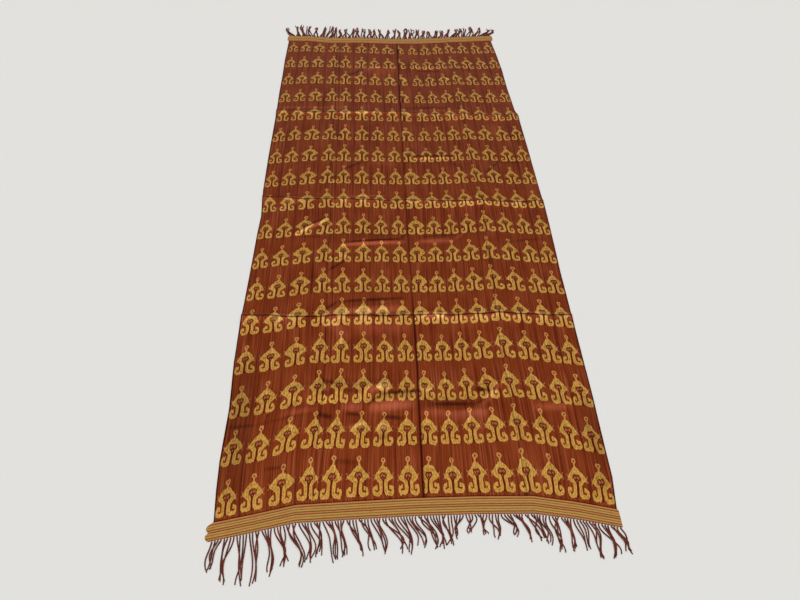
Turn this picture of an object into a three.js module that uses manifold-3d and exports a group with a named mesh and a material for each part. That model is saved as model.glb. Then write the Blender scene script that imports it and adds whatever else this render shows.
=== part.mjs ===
// Warp ikat cloth of two loom widths sewn together, with a twined heading and a cord
// fringe at each end. It lies flat on a floor, with the creases it was stored in.
// Millimetres, +Z up. Plan places are measured from the near left corner of the cloth:
// x to the right, y away from the near end. The group is then centred on the origin.

import * as THREE from "three";
import { mergeVertices } from "three/addons/utils/BufferGeometryUtils.js";
import Module from "manifold-3d";

const wasm = await Module();
wasm.setup();

// Driving dimensions
const CLOTH_THICKNESS = 1.5;
const NEAR_END = 80; // where the weave meets the near heading, along the warp
const FAR_END = 2387; // where it meets the far heading
const GAP = 0.3; // between neighbouring pieces
const HEADING_WIDTH = 46;
const HEADING_VALLEY = 2.3; // heading's thickness between its cord rows
const HEADING_CREST = 3.1; // and over them
const CORD_ROWS = 8;
const ROOT_STRIP_WIDTH = 3;
const ROOT_STRIP_HEIGHT = 2.6;
const CORD_RADIUS = 1.5; // of the three-sided fringe cords, to a corner
const CORD_TIP_RADIUS = 1.2;
const CORD_STEPS = 3;
const CORDS_IN_CLUMP = 4;
const LENGTH_STEP = 0.05; // cords of a clump end at three lengths, this share apart
const LENGTHS_IN_CLUMP = 3;
const CLUMP_SQUEEZE = 0.45; // spacing of a clump's cords at its tip, as a share of that at the root
const GATHER_POWER = 0.8; // under 1 gathers a clump early
const CORD_SWAY = 2.5;
const SWAY_PITCH = 150; // along the heading, for one wave of the sway

// Edges of the two loom widths, seen from above: y, then x of each edge
const OUTLINE = [
  { y: -20, left: -4, seam: 550, right: 1051 },
  { y: 40, left: 6, seam: 550, right: 1053 },
  { y: 120, left: 0, seam: 550, right: 1063 },
  { y: 200, left: -3, seam: 551, right: 1064 },
  { y: 360, left: 1, seam: 553, right: 1068 },
  { y: 520, left: -6, seam: 555, right: 1069 },
  { y: 660, left: -6, seam: 555, right: 1070 },
  { y: 840, left: 0, seam: 554, right: 1071 },
  { y: 1080, left: 6, seam: 553, right: 1077 },
  { y: 1160, left: 10, seam: 553, right: 1078 },
  { y: 1300, left: 3, seam: 552, right: 1075 },
  { y: 1520, left: 4, seam: 552, right: 1073 },
  { y: 1750, left: 8, seam: 554, right: 1069 },
  { y: 1800, left: 9, seam: 555, right: 1060 },
  { y: 1960, left: 9, seam: 556, right: 1052 },
  { y: 2120, left: 12, seam: 557, right: 1050 },
  { y: 2240, left: 12, seam: 558, right: 1043 },
  { y: 2360, left: 16, seam: 559, right: 1034 },
  { y: 2440, left: 19, seam: 559, right: 1029 },
];

// How far a weft, straight on the loom, now lies ahead of its place (+) or behind it (-):
// warp is the weft's distance along the warp, the nine offsets are at these shares across
const ACROSS = [0, 0.1, 0.2, 0.35, 0.5, 0.65, 0.79, 0.9, 1];
const BOW = [
  { warp: 80, offsets: [-53, -23, -5, -2, 1, 0, -4, -24, -47] },
  { warp: 227, offsets: [-45, -25, -3, 0, 5, 2, 7, -22, -43] },
  { warp: 636, offsets: [-20, -7, 10, 10, 6, 4, 11, -7, -25] },
  { warp: 1183, offsets: [-4, 3, 13, 10, -1, -3, 10, -10, -16] },
  { warp: 1730, offsets: [13, 24, 24, 11, 1, -4, 2, -9, -5] },
  { warp: 2276, offsets: [35, 37, 31, 17, 2, -11, 5, -5, -1] },
  { warp: 2387, offsets: [30, 25, 5, 2, -12, -15, -7, -1, 5] },
];

// The three storage folds that cross the whole cloth: y of the crest at the same nine
// shares across, its height, and how far it slopes down to each side
const FOLDS = [
  { height: 8, nearSlope: 60, farSlope: 20, crest: [700, 694, 689, 686, 682, 681, 681, 674, 665] },
  { height: 8, nearSlope: 60, farSlope: 20, crest: [1277, 1268, 1260, 1250, 1242, 1235, 1227, 1224, 1223] },
  { height: 8, nearSlope: 55, farSlope: 20, crest: [1840, 1832, 1826, 1819, 1815, 1796, 1785, 1783, 1782] },
];

// Lengthwise storage creases: panel, share across it, height and half width
const CREASES = [
  { panel: "left", share: 0.47, height: 2.6, halfWidth: 16 },
  { panel: "right", share: 0.54, height: 2.6, halfWidth: 16 },
];

// Soft swells of the cloth between the folds: middle, reach along x and y, height
const SWELLS = [
  { x: 330, y: 410, reachX: 230, reachY: 55, height: 5 },
  { x: 640, y: 335, reachX: 220, reachY: 60, height: 5 },
  { x: 410, y: 1030, reachX: 190, reachY: 45, height: 4 },
  { x: 400, y: 770, reachX: 190, reachY: 50, height: 4 },
  { x: 640, y: 1505, reachX: 190, reachY: 50, height: 4 },
  { x: 600, y: 2160, reachX: 220, reachY: 60, height: 4 },
  { x: 330, y: 2080, reachX: 110, reachY: 70, height: 5 },
];

// Places of the grid: across each panel, closer at its lengthwise crease, and along the
// warp between two folds, closer on their slopes
const PANEL_SHARES = {
  left: [0, 0.13, 0.27, 0.4, 0.44, 0.47, 0.5, 0.62, 0.76, 0.88, 1],
  right: [0, 0.14, 0.28, 0.42, 0.51, 0.54, 0.57, 0.68, 0.79, 0.9, 1],
};
const BAND_SHARES = [0, 0.015, 0.036, 0.12, 0.23, 0.34, 0.45, 0.56, 0.67, 0.78, 0.89, 0.927, 0.964];

// Headings: how far each end stands out past the selvedge, and its slant there
const HEADINGS = {
  near: { outLeft: 20, outRight: 7, endShrink: 3 },
  far: { outLeft: 9, outRight: 11, endShrink: 6 },
};

// Fringes, from left to right, one row for each clump of cords: how far its tip leans to
// the right of its root, and how far it reaches from the heading
const CLUMPS = {
  near: [
    { lean: -11, reach: 76 },
    { lean: -10, reach: 110 },
    { lean: 8, reach: 120 },
    { lean: 12, reach: 124 },
    { lean: 20, reach: 108 },
    { lean: 22, reach: 97 },
    { lean: 27, reach: 102 },
    { lean: 28, reach: 94 },
    { lean: 16, reach: 86 },
    { lean: 28, reach: 97 },
    { lean: 16, reach: 87 },
    { lean: 20, reach: 84 },
    { lean: 26, reach: 76 },
    { lean: 24, reach: 88 },
    { lean: 38, reach: 86 },
    { lean: 26, reach: 90 },
    { lean: 25, reach: 72 },
    { lean: 30, reach: 82 },
    { lean: 16, reach: 78 },
    { lean: 3, reach: 74 },
    { lean: -8, reach: 58 },
    { lean: -2, reach: 44 },
    { lean: 0, reach: 51 },
    { lean: 5, reach: 62 },
    { lean: 20, reach: 56 },
    { lean: 23, reach: 67 },
    { lean: 22, reach: 66 },
    { lean: 8, reach: 74 },
    { lean: 6, reach: 88 },
    { lean: 12, reach: 80 },
    { lean: 10, reach: 71 },
    { lean: 10, reach: 92 },
    { lean: 14, reach: 82 },
    { lean: 18, reach: 62 },
  ],
  far: [
    { lean: -30, reach: 82 },
    { lean: -10, reach: 100 },
    { lean: -18, reach: 112 },
    { lean: -15, reach: 101 },
    { lean: -3, reach: 94 },
    { lean: 14, reach: 100 },
    { lean: 18, reach: 109 },
    { lean: 8, reach: 102 },
    { lean: 2, reach: 82 },
    { lean: -4, reach: 86 },
    { lean: 10, reach: 94 },
    { lean: -4, reach: 102 },
    { lean: 3, reach: 92 },
    { lean: 4, reach: 87 },
    { lean: -3, reach: 85 },
    { lean: -7, reach: 88 },
    { lean: 8, reach: 86 },
    { lean: 14, reach: 96 },
    { lean: 2, reach: 85 },
    { lean: 4, reach: 101 },
    { lean: 6, reach: 95 },
    { lean: 8, reach: 88 },
    { lean: 6, reach: 80 },
    { lean: 5, reach: 68 },
    { lean: 13, reach: 74 },
    { lean: 12, reach: 72 },
    { lean: 16, reach: 85 },
    { lean: 28, reach: 83 },
    { lean: 14, reach: 87 },
    { lean: 8, reach: 90 },
    { lean: 16, reach: 97 },
    { lean: 32, reach: 86 },
    { lean: 44, reach: 66 },
    { lean: 40, reach: 56 },
  ],
};

const CLOTH_RED = new THREE.MeshStandardMaterial({ color: 0x7d2f1c, roughness: 0.6, metalness: 0 });
const HEADING_GOLD = new THREE.MeshStandardMaterial({ color: 0xb98e43, roughness: 0.7, metalness: 0 });
const FRINGE_BROWN = new THREE.MeshStandardMaterial({ color: 0x5e2418, roughness: 0.7, metalness: 0 });

const MERGE_DISTANCE = 1e-4; // corners closer than this are one

const mix = (a, b, share) => a + (b - a) * share;
const smooth = (share) => share * share * (3 - 2 * share);

// The value of a polyline over rising places, at one place
function along(places, values, place) {
  const last = places.length - 2;
  let i = 0;
  while (i < last && places[i + 1] < place) i++;
  const share = THREE.MathUtils.clamp((place - places[i]) / (places[i + 1] - places[i]), 0, 1);
  return mix(values[i], values[i + 1], share);
}

// x of one edge of the outline at a distance from the near end
const edgeX = (edge, y) => along(OUTLINE.map((row) => row.y), OUTLINE.map((row) => row[edge]), y);

// How far ahead of its place a weft lies, at a share across the cloth
const bowAt = (warp, across) =>
  along(BOW.map((row) => row.warp), BOW.map((row) => along(ACROSS, row.offsets, across)), warp);

// 1 at the crest of a fold or swell, easing to 0 at a distance of one
const easeDown = (distance) => (distance >= 1 ? 0 : 1 - smooth(distance));

// Height of the underside over the floor at a point of the plan
function liftAt(panel, share, x, y) {
  const across = (x - edgeX("left", y)) / (edgeX("right", y) - edgeX("left", y));
  let lift = 0;
  for (const { crest, height, nearSlope, farSlope } of FOLDS) {
    const beyond = y - along(ACROSS, crest, across);
    lift += height * easeDown(beyond < 0 ? -beyond / nearSlope : beyond / farSlope);
  }
  for (const crease of CREASES) {
    if (crease.panel !== panel) continue;
    const width = edgeX("seam", y) - edgeX("left", y);
    lift += crease.height * easeDown((Math.abs(share - crease.share) * width) / crease.halfWidth);
  }
  for (const swell of SWELLS) {
    const distance = Math.hypot((x - swell.x) / swell.reachX, (y - swell.y) / swell.reachY);
    lift += swell.height * easeDown(distance);
  }
  return lift;
}

// A box of one by one by one, cut into a grid and bent: place(i, j, top) gives the point
// of grid corner i across and j along, on the top or the underside
function bentGrid(acrossSteps, alongSteps, place) {
  const grid = new THREE.BoxGeometry(1, 1, 1, acrossSteps, alongSteps, 1);
  const points = grid.attributes.position;
  for (let n = 0; n < points.count; n++) {
    const i = Math.round((points.getX(n) + 0.5) * acrossSteps);
    const j = Math.round((points.getY(n) + 0.5) * alongSteps);
    points.setXYZ(n, ...place(i, j, points.getZ(n) > 0));
  }
  return grid;
}

// Plan point of one panel at a share across it and a distance along the warp
function panelPoint(panel, share, warp) {
  const edges = panel === "left" ? ["left", "seam"] : ["seam", "right"];
  const inset = panel === "left" ? [0, -GAP / 2] : [GAP / 2, 0];
  const xAt = (y) => mix(edgeX(edges[0], y) + inset[0], edgeX(edges[1], y) + inset[1], share);
  const xFlat = xAt(warp);
  const across = (xFlat - edgeX("left", warp)) / (edgeX("right", warp) - edgeX("left", warp));
  const y = warp + bowAt(warp, across);
  return [xAt(y), y];
}

// Distance along the warp of a grid line, which runs with the folds between the two ends
function warpOfLine(panel, share, line) {
  const band = Math.min(Math.floor(line / BAND_SHARES.length), FOLDS.length);
  const step = line - band * BAND_SHARES.length;
  const stops = [NEAR_END, ...FOLDS.map(({ crest }) => warpOfCrest(panel, share, crest)), FAR_END];
  return mix(stops[band], stops[band + 1], step < BAND_SHARES.length ? BAND_SHARES[step] : 1);
}

// Distance along the warp at which a panel's point lies on a fold's crest, drawn nearer
// by each pass
function warpOfCrest(panel, share, crest) {
  const passes = 6;
  let warp = crest[0];
  for (let pass = 0; pass < passes; pass++) {
    const [x, y] = panelPoint(panel, share, warp);
    const across = (x - edgeX("left", y)) / (edgeX("right", y) - edgeX("left", y));
    warp += along(ACROSS, crest, across) - y;
  }
  return warp;
}

function panelMesh(panel) {
  const shares = PANEL_SHARES[panel];
  const lines = BAND_SHARES.length * (FOLDS.length + 1);
  const geometry = bentGrid(shares.length - 1, lines, (i, j, top) => {
    const [x, y] = panelPoint(panel, shares[i], warpOfLine(panel, shares[i], j));
    return [x, y, liftAt(panel, shares[i], x, y) + (top ? CLOTH_THICKNESS : 0)];
  });
  return named("panel_" + panel, geometry, CLOTH_RED);
}

// The weave's end at one heading, as plan points from the left selvedge to the right one
function weaveEnd(end) {
  const warp = end === "near" ? NEAR_END : FAR_END;
  const left = PANEL_SHARES.left.map((share) => panelPoint("left", share, warp));
  const right = PANEL_SHARES.right.map((share) => panelPoint("right", share, warp));
  return [...left, ...right];
}

// A heading's stations: the weave's end points, and one standing out past each selvedge
function headingStations(end) {
  const points = weaveEnd(end);
  const { outLeft, outRight } = HEADINGS[end];
  const [first, second] = points;
  const [last, beforeLast] = [points.at(-1), points.at(-2)];
  const slopeLeft = (second[1] - first[1]) / (second[0] - first[0]);
  const slopeRight = (last[1] - beforeLast[1]) / (last[0] - beforeLast[0]);
  const tipLeft = [first[0] - outLeft, first[1] - outLeft * slopeLeft];
  const tipRight = [last[0] + outRight, last[1] + outRight * slopeRight];
  return [tipLeft, ...points, tipRight];
}

function headingMesh(end) {
  const outward = end === "near" ? -1 : 1;
  const stations = headingStations(end);
  const steps = 2 * CORD_ROWS;
  const geometry = bentGrid(stations.length - 1, steps, (i, j, top) => {
    const [x, y] = stations[i];
    const atEnd = i === 0 || i === stations.length - 1;
    const shrink = atEnd ? HEADINGS[end].endShrink : 0;
    const inner = GAP + shrink;
    const outer = GAP + HEADING_WIDTH - shrink;
    const share = outward > 0 ? j / steps : 1 - j / steps;
    const height = j % 2 ? HEADING_CREST : HEADING_VALLEY;
    return [x, y + outward * mix(inner, outer, share), top ? height : 0];
  });
  return named("heading_" + end, geometry, HEADING_GOLD);
}

// A closed geometry as a solid that can be joined, and a solid's geometry
function solidOf(geometry) {
  geometry.deleteAttribute("normal");
  geometry.deleteAttribute("uv");
  const merged = mergeVertices(geometry, MERGE_DISTANCE);
  const vertProperties = merged.attributes.position.array;
  const triVerts = new Uint32Array(merged.index.array);
  return new wasm.Manifold(new wasm.Mesh({ numProp: 3, vertProperties, triVerts }));
}

function geometryOf(solid) {
  const { vertProperties, triVerts } = solid.getMesh();
  return new THREE.BufferGeometry()
    .setAttribute("position", new THREE.BufferAttribute(vertProperties, 3))
    .setIndex(new THREE.BufferAttribute(triVerts, 1));
}

// One cord: a three-sided bar with its flat side on the floor, from its root inside the
// strip to its tip, drawn sideways as its clump gathers
function cordGeometry(end, rootX, rootY, tipX, reach) {
  const outward = end === "near" ? -1 : 1;
  const cord = new THREE.CylinderGeometry(1, 1, 1, 3, CORD_STEPS);
  const points = cord.attributes.position;
  const swayAt = Math.sin((2 * Math.PI * rootX) / SWAY_PITCH);
  for (let n = 0; n < points.count; n++) {
    const share = points.getY(n) + 0.5;
    const radius = mix(CORD_RADIUS, CORD_TIP_RADIUS, share);
    const gathered = smooth(share ** GATHER_POWER);
    const x = mix(rootX, tipX, gathered) + CORD_SWAY * swayAt * Math.sin(Math.PI * share);
    const y = rootY + outward * reach * share;
    points.setXYZ(n, x + outward * radius * points.getX(n), y, radius * (points.getZ(n) + 0.5));
  }
  return cord;
}

function fringeMesh(end) {
  const outward = end === "near" ? -1 : 1;
  const edge = weaveEnd(end);
  const inner = 2 * GAP + HEADING_WIDTH;
  const strip = bentGrid(edge.length - 1, 1, (i, j, top) => {
    const [x, y] = edge[i];
    const out = (outward > 0) === (j === 1) ? inner + ROOT_STRIP_WIDTH : inner;
    return [x, y + outward * out, top ? ROOT_STRIP_HEIGHT : 0];
  });
  const clumps = CLUMPS[end];
  const count = clumps.length * CORDS_IN_CLUMP;
  const [left, right] = [edge[0][0], edge.at(-1)[0]];
  const pitch = (right - left) / count;
  const cords = [];
  for (let n = 0; n < count; n++) {
    const clump = Math.floor(n / CORDS_IN_CLUMP);
    const rootX = left + (n + 0.5) * pitch;
    const middleX = left + (clump + 0.5) * CORDS_IN_CLUMP * pitch;
    const tipX = middleX + clumps[clump].lean + (rootX - middleX) * CLUMP_SQUEEZE;
    const edgeY = along(edge.map((p) => p[0]), edge.map((p) => p[1]), rootX);
    const rootY = edgeY + outward * (inner + ROOT_STRIP_WIDTH / 2);
    const reach = clumps[clump].reach * (1 - LENGTH_STEP * (n % LENGTHS_IN_CLUMP));
    cords.push(solidOf(cordGeometry(end, rootX, rootY, tipX, reach)));
  }
  const joined = wasm.Manifold.union([solidOf(strip), ...cords]);
  return named("fringe_" + end, geometryOf(joined), FRINGE_BROWN);
}

function named(name, geometry, material) {
  const mesh = new THREE.Mesh(geometry, material);
  mesh.name = name;
  return mesh;
}

const cloth = new THREE.Group();
cloth.add(panelMesh("left"), panelMesh("right"));
cloth.add(headingMesh("near"), headingMesh("far"));
cloth.add(fringeMesh("near"), fringeMesh("far"));

const box = new THREE.Box3().setFromObject(cloth);
const middle = box.getCenter(new THREE.Vector3());
cloth.position.set(-middle.x, -middle.y, -box.min.z);

export default cloth;
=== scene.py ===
"""A warp ikat cloth of two loom widths, laid flat: brick red with rows of gold figures,
a twined gold heading and a fringe of twisted warp cords at each end.

Plan places are in millimetres from the near left corner of the cloth, x to the right and
y along the warp, as on the drawing of the solids; put() brings them to the frame.
"""

import math
from collections import namedtuple
from functools import reduce

import bpy
import numpy as np
from mathutils import Euler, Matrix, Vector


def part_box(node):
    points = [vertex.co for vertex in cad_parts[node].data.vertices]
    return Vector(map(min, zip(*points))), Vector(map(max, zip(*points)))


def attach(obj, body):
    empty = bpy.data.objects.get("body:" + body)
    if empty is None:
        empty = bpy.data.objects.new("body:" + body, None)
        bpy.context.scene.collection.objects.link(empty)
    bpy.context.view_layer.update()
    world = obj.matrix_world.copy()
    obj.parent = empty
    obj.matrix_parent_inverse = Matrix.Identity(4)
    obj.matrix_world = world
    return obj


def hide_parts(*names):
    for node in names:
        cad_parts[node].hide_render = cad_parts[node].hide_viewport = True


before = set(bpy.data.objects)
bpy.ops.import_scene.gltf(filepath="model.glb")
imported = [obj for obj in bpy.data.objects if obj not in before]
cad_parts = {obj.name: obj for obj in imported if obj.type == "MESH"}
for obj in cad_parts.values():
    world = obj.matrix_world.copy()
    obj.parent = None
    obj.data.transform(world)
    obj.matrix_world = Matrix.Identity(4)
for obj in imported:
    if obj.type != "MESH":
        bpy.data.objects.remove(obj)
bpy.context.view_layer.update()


# The camera. It is held at eye height just off the near end of the cloth, and looks down
# at it, a little to the right of the warp.

CAMERA_PLACE = (-0.076, -1.710, 1.569)
LOOK_DOWN = 51.85  # degrees under the horizon
LOOK_RIGHT = 2.66  # degrees from the warp
ROLL = 0.62  # degrees
LENS_MM = 27.0
FILM_MM = 36.0

camera = bpy.data.objects.new("camera", bpy.data.cameras.new("camera"))
bpy.context.scene.collection.objects.link(camera)
camera.data.lens = LENS_MM
camera.data.sensor_width = FILM_MM
camera.location = CAMERA_PLACE
aimed = Euler((math.radians(90 - LOOK_DOWN), 0, math.radians(-LOOK_RIGHT))).to_matrix()
rolled = Euler((0, 0, math.radians(ROLL))).to_matrix()
camera.rotation_euler = (aimed @ rolled).to_euler()
bpy.context.scene.camera = camera


# The two loom widths. Each is one length of warp ikat: the cotton warp is tied and dyed
# before it is woven, so the figures' edges are feathered thread by thread. They are sewn
# edge to edge, and the whole cloth keeps the folds it was stored in.

MM = 0.001
THICKNESS = 1.5
LOOM_WIDTH = {"left": 549.0, "right": 516.0}
NEAR_END = 80.0  # where the weave meets the headings, along the warp
FAR_END = 2387.0
SEWN = 0.04  # gap between the two widths, where the seam draws them together
PLAN_LOWEST = (-6.0, 27.0)  # lowest x and y of the left loom width on the plan

# Edges of the two loom widths, seen from above
OUTLINE = {
    "y": [-20, 40, 120, 200, 360, 520, 660, 840, 1080, 1160,
          1300, 1520, 1750, 1800, 1960, 2120, 2240, 2360, 2440],
    "left": [-4, 6, 0, -3, 1, -6, -6, 0, 6, 10,
             3, 4, 8, 9, 9, 12, 12, 16, 19],
    "seam": [550, 550, 550, 551, 553, 555, 555, 554, 553, 553,
             552, 552, 554, 555, 556, 557, 558, 559, 559],
    "right": [1051, 1053, 1063, 1064, 1068, 1069, 1070, 1071, 1077, 1078,
              1075, 1073, 1069, 1060, 1052, 1050, 1043, 1034, 1029],
}

# How far some wefts, straight on the loom, now lie ahead of their place or behind it, at
# nine shares across the cloth
ACROSS = [0, 0.1, 0.2, 0.35, 0.5, 0.65, 0.79, 0.9, 1]
BOW = {
    80: [-44, -26, -6, -2, 1, 0, -4, -24, -47],
    227: [-43, -29, 3, 0, 5, 2, 7, -22, -43],
    636: [-20, -7, 10, 10, 6, 4, 11, -7, -25],
    1183: [-4, 3, 13, 10, -1, -3, 10, -10, -16],
    1730: [13, 24, 24, 11, 1, -4, 2, -9, -5],
    2276: [35, 37, 31, 17, 2, -11, 5, -5, -1],
    2387: [30, 25, 5, 2, -12, -15, -7, -1, 5],
}

# The three storage folds: height, reach of the slopes to the near and the far side, and y
# of the crest at the same nine shares
Fold = namedtuple("Fold", "height near_slope far_slope crest")
FOLDS = [
    Fold(4, 60, 20, [700, 694, 689, 686, 682, 681, 681, 674, 665]),
    Fold(4, 60, 20, [1265, 1256, 1248, 1238, 1230, 1223, 1215, 1212, 1211]),
    Fold(5, 55, 20, [1824, 1816, 1810, 1804, 1800, 1782, 1770, 1767, 1766]),
]

LIP_HEIGHT, LIP_NEAR, LIP_FAR = 2.4, 16.0, 9.0  # the sharp lip pressed into each fold
SEAM_REACH = 16.0  # half width of the low ridge along the seam
WAVINESS = 0.5  # half height of the cloth's slight waves

# Lengthwise creases: panel, share across it, height, half width
CREASES = [
    ("left", 0.47, 2.6, 16),
    ("left", 0.72, 0.7, 6),
    ("right", 0.17, 0.8, 6),
    ("right", 0.30, 0.7, 5),
    ("right", 0.54, 2.6, 16),
    ("right", 0.68, 0.8, 6),
    ("right", 0.88, 0.7, 6),
]

# Soft swells: x and y of the middle, reach along x and y, height
SWELLS = [
    (330, 410, 230, 45, 6),
    (640, 335, 220, 48, 6),
    (410, 1030, 190, 45, 4),
    (400, 770, 190, 50, 4),
    (640, 1505, 190, 50, 4),
    (600, 2160, 220, 60, 4),
    (330, 2080, 110, 70, 5),
]

# Wrinkles where the cloth was pushed: x and y of both ends, half width, height, and how much
# painted highlight lies along the line, under 0 for painted shade in a valley
Wrinkle = namedtuple("Wrinkle", "x1 y1 x2 y2 half_width height sheen")
WRINKLES = [Wrinkle(*row) for row in [
    (325, 358, 388, 350, 18, 2.6, 0.7),
    (402, 350, 545, 360, 20, 3.6, 1.0),
    (395, 405, 472, 425, 14, 2.4, 0.8),
    (630, 312, 755, 325, 15, 3.0, 0.9),
    (560, 335, 660, 315, 16, 1.5, 0.4),
    (730, 340, 808, 425, 11, 2.0, 0.7),
    (885, 335, 1000, 338, 15, 2.0, 0.5),
    (345, 290, 402, 300, 9, 1.2, 0.6),
    (425, 290, 462, 288, 11, 1.0, 0.5),
    (150, 340, 260, 352, 12, 1.0, 0.3),
    (270, 680, 345, 590, 26, 2.0, 0.4),
    (345, 640, 545, 630, 34, 2.0, 0.3),
    (582, 676, 668, 676, 13, 1.2, 1.3),
    (555, 410, 600, 402, 10, 1.0, 0.4),
    (400, 358, 440, 392, 7, 0, -0.5),
    (430, 394, 565, 404, 9, 0, -0.6),
    (255, 336, 305, 322, 10, 0, -0.6),
    (338, 336, 390, 328, 8, 0, -0.5),
    (440, 322, 510, 312, 9, 0, -0.6),
    (585, 355, 720, 350, 9, 0, -0.6),
    (715, 350, 755, 368, 8, 0, -0.4),
    (722, 402, 775, 396, 10, 0, -0.6),
    (255, 452, 315, 432, 8, 0, -0.4),
    (118, 173, 185, 180, 6, 0, -0.4),
    (0, 300, 85, 306, 6, 0, -0.3),
    (80, 306, 250, 345, 6, 0, -0.2),
    (426, 258, 462, 256, 13, 0, -0.35),
    (312, 192, 375, 184, 10, 0, -0.3),
    (255, 402, 305, 398, 12, 0, -0.3),
    (325, 410, 392, 402, 10, 0, -0.3),
    (40, 60, 40, 560, 60, 0, -0.25),
    (1040, 80, 1040, 400, 30, 0, -0.2),
    (270, 700, 525, 712, 19, 2.2, 0.8),
    (262, 712, 302, 744, 7, 0, -0.5),
    (296, 745, 535, 753, 8, 0, -0.6),
    (222, 780, 222, 940, 9, 0, -0.3),
    (265, 880, 330, 932, 8, 0.8, -0.5),
    (318, 1014, 535, 1024, 7, 0, -0.7),
    (522, 1026, 548, 1054, 7, 0, -0.4),
    (300, 1003, 545, 1010, 9, 2.2, 1.0),
    (575, 1010, 720, 1012, 12, 1.8, 0.7),
    (715, 1015, 765, 1056, 8, 1.0, 0.4),
    (600, 1034, 730, 1040, 7, 0, -0.4),
    (160, 1084, 256, 1150, 6, 0, -0.55),
    (136, 1054, 266, 1142, 9, 2.4, 1.2),
    (-5, 1849, 160, 1845, 6, 0.6, 0.7),
    (140, 1844, 320, 1838, 6, 0.6, 0.5),
    (640, 1806, 860, 1800, 8, 0.6, 0.4),
    (560, 1826, 780, 1824, 9, 0, -0.4),
    (0, 1272, 150, 1269, 5, 0, -0.3),
    (320, 1260, 480, 1257, 6, 0.6, 0.6),
    (290, 965, 345, 940, 6, 0.8, 0.5),
    (155, 1050, 255, 1045, 8, 0, -0.3),
    (262, 1356, 312, 1420, 7, 0, -0.35),
    (308, 1418, 395, 1466, 7, 1.2, -0.5),
    (738, 1450, 805, 1400, 7, 0, -0.35),
    (876, 1378, 935, 1442, 7, 1.0, -0.5),
    (930, 1444, 1045, 1436, 6, 0, -0.4),
    (560, 1490, 760, 1487, 7, 0, -0.6),
    (585, 1474, 765, 1474, 8, 1.8, 0.5),
    (410, 1462, 540, 1440, 22, 1.5, 0.25),
    (840, 1180, 856, 1250, 7, 0.8, -0.35),
    (900, 1002, 1055, 1010, 7, 0, -0.25),
    (302, 2070, 392, 2150, 6, 0, -0.6),
    (322, 2070, 360, 2078, 9, 1.4, 0.5),
    (372, 2092, 392, 2128, 8, 1.6, 0.8),
    (398, 2140, 475, 2160, 13, 1.8, 0.7),
    (400, 2120, 560, 2130, 36, 1.5, 0.25),
    (640, 2120, 775, 2114, 7, 0, -0.5),
    (640, 2148, 765, 2150, 12, 1.4, 0.4),
    (775, 2060, 795, 2048, 9, 0.8, 0.7),
    (300, 1794, 548, 1798, 14, 1.0, 0.5),
]]

# In half widths of a wrinkle: how far its ridge lies beyond its line of painted sheen, and how
# far the ridge and the painted sheen ease out
RIDGE_BEYOND, RIDGE_REACH, PAINTED_SHEEN_REACH = 0.7, 1.7, 1.25


def smooth(share):
    """3 s^2 - 2 s^3, for a share from 0 to 1."""
    share = np.clip(share, 0, 1)
    return share * share * (3 - 2 * share)


def ease_down(distance):
    """1 at a distance of 0, easing to 0 at a distance of one."""
    return 1 - smooth(distance)


def ease_both(beyond, near, far):
    """1 on a crest, easing to 0 over one reach on its near side and another beyond it."""
    return ease_down(np.where(beyond < 0, -beyond / near, beyond / far))


def edge_x(edge, y):
    """x of one edge of the outline: straight between the rows of the table."""
    return np.interp(y, OUTLINE["y"], OUTLINE[edge])


def share_across(x, y):
    """How far a plan point lies across the cloth, from the left selvedge to the right."""
    left = edge_x("left", y)
    return (x - left) / (edge_x("right", y) - left)


def bow_at(warp, across):
    """The table read along the warp for each of its nine shares, then across between the
    two shares beside each point."""
    warps = list(BOW)
    columns = np.stack([np.interp(warp, warps, values) for values in np.transpose(list(BOW.values()))])
    places = np.array(ACROSS)
    right = np.clip(np.searchsorted(places, across), 1, len(places) - 1)
    share = np.clip((across - places[right - 1]) / (places[right] - places[right - 1]), 0, 1)
    before = np.take_along_axis(columns, (right - 1)[None], 0)[0]
    after = np.take_along_axis(columns, right[None], 0)[0]
    return before * (1 - share) + after * share


def beyond_crest(fold, x, y):
    """How far a plan point lies beyond a fold's crest: the crest's table read across, with
    a wander of two sines. It stands over the floor, so it is seen beyond its place."""
    crest = np.interp(share_across(x, y), ACROSS, fold.crest)
    wander = 2.0 * np.sin(x / 41) + 1.2 * np.sin(x / 17 + fold.crest[0])
    return y - crest - wander + fold.height


def wrinkle_at(x, y, wrinkle):
    """Where a plan point lies by a wrinkle: how far beyond its line, in half widths, and
    the wrinkle's strength there, the root of a half sine along the line."""
    run_x, run_y = wrinkle.x2 - wrinkle.x1, wrinkle.y2 - wrinkle.y1
    from_x, from_y = x - wrinkle.x1, y - wrinkle.y1
    length = math.hypot(run_x, run_y)
    along = (from_x * run_x + from_y * run_y) / length
    aside = (from_y * run_x - from_x * run_y) / length
    strength = np.sin(np.pi * np.clip(along / length, 0, 1)) ** 0.5
    return aside / wrinkle.half_width, strength


def painted_sheen_at(x, y):
    """The painted highlight and shade of the wrinkles against the flat cloth: each one's
    painted light, easing out on both sides of its line, all added up."""
    painted_sheen = np.zeros_like(x)
    for wrinkle in WRINKLES:
        beyond, strength = wrinkle_at(x, y, wrinkle)
        painted_sheen += wrinkle.sheen * strength * ease_down(np.abs(beyond) / PAINTED_SHEEN_REACH)
    return painted_sheen


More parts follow.
